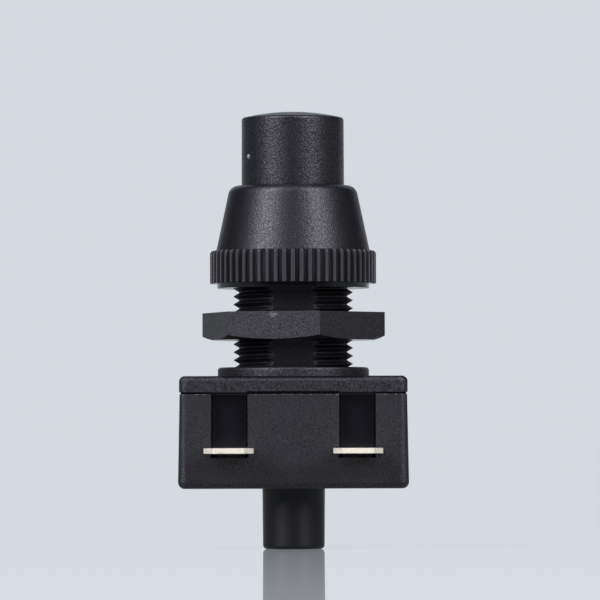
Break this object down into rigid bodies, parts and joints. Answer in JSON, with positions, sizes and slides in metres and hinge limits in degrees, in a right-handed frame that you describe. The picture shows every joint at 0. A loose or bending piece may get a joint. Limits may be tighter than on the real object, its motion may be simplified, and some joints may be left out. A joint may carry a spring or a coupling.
{
  "type": "panel-mount pushbutton switch",
  "caption": "Black panel-mount latching pushbutton switch with a round cap, knurled bezel collar, threaded neck with hex nut, and tab terminals on a rectangular body.",
  "frame": {"origin": "on the neck's axis, in the plane of the collar's seat, where the front face of the panel lies", "axes": "+Z along the neck towards the button, -Y the way the tab terminals point, +X to the right seen from the terminals"},
  "size_m": [0.0228, 0.0248, 0.0436],
  "materials": {
    "cap_plastic": "satin",
    "collar_plastic": "satin",
    "nut_plastic": "satin",
    "housing_plastic": "matte",
    "tinned_brass": "satin",
    "contact_silver": "satin",
    "bridge_copper": "satin",
    "plunger_acetal": "satin",
    "spring_steel": "satin",
    "leaf_bronze": "satin"
  },
  "bodies": {
    "housing": {"upper_housing": "housing_plastic", "base_housing": "housing_plastic", "terminal_left": "tinned_brass", "terminal_right": "tinned_brass", "fixed_contact_left": "contact_silver", "fixed_contact_right": "contact_silver", "latch_leaf": "leaf_bronze", "return_spring": "spring_steel"},
    "button": {"push_cap": "cap_plastic", "plunger": "plunger_acetal", "contact_spring": "spring_steel"},
    "bridge": {"contact_bridge": "bridge_copper", "moving_contact_left": "contact_silver", "moving_contact_right": "contact_silver"},
    "latch": {"latch_wire": "spring_steel"},
    "collar": {"bezel_collar": "collar_plastic"},
    "nut": {"hex_nut": "nut_plastic"}
  },
  "joints": [
    {"name": "button_press", "type": "slide", "parent": "housing", "child": "button", "axis": [0, 0, -1], "range_m": [0, 0.0028], "stiffness_N_per_m": 500, "springref_m": -0.002, "deforming": ["return_spring", "contact_spring"]},
    {"name": "bridge_follow", "type": "slide", "parent": "housing", "child": "bridge", "axis": [0, 0, -1], "range_m": [0, 0.0015]},
    {"name": "latch_swing", "type": "hinge", "parent": "housing", "child": "latch", "pos_m": [0, 0.0053, -0.01781], "axis": [0, -1, 0], "range_deg": [0, 18.21]},
    {"name": "collar_lift", "type": "slide", "parent": "housing", "child": "collar", "axis": [0, 0, 1], "range_m": [0, 0.02]},
    {"name": "nut_travel", "type": "slide", "parent": "housing", "child": "nut", "axis": [0, 0, 1], "range_m": [-0.00265, 0.0023]}
  ],
  "couplings": [
    {"joint": "bridge_follow", "follows": "button_press", "ratio": 0.5357},
    {"joint": "latch_swing", "follows": "button_press", "rad_per_m": 113.5}
  ]
}
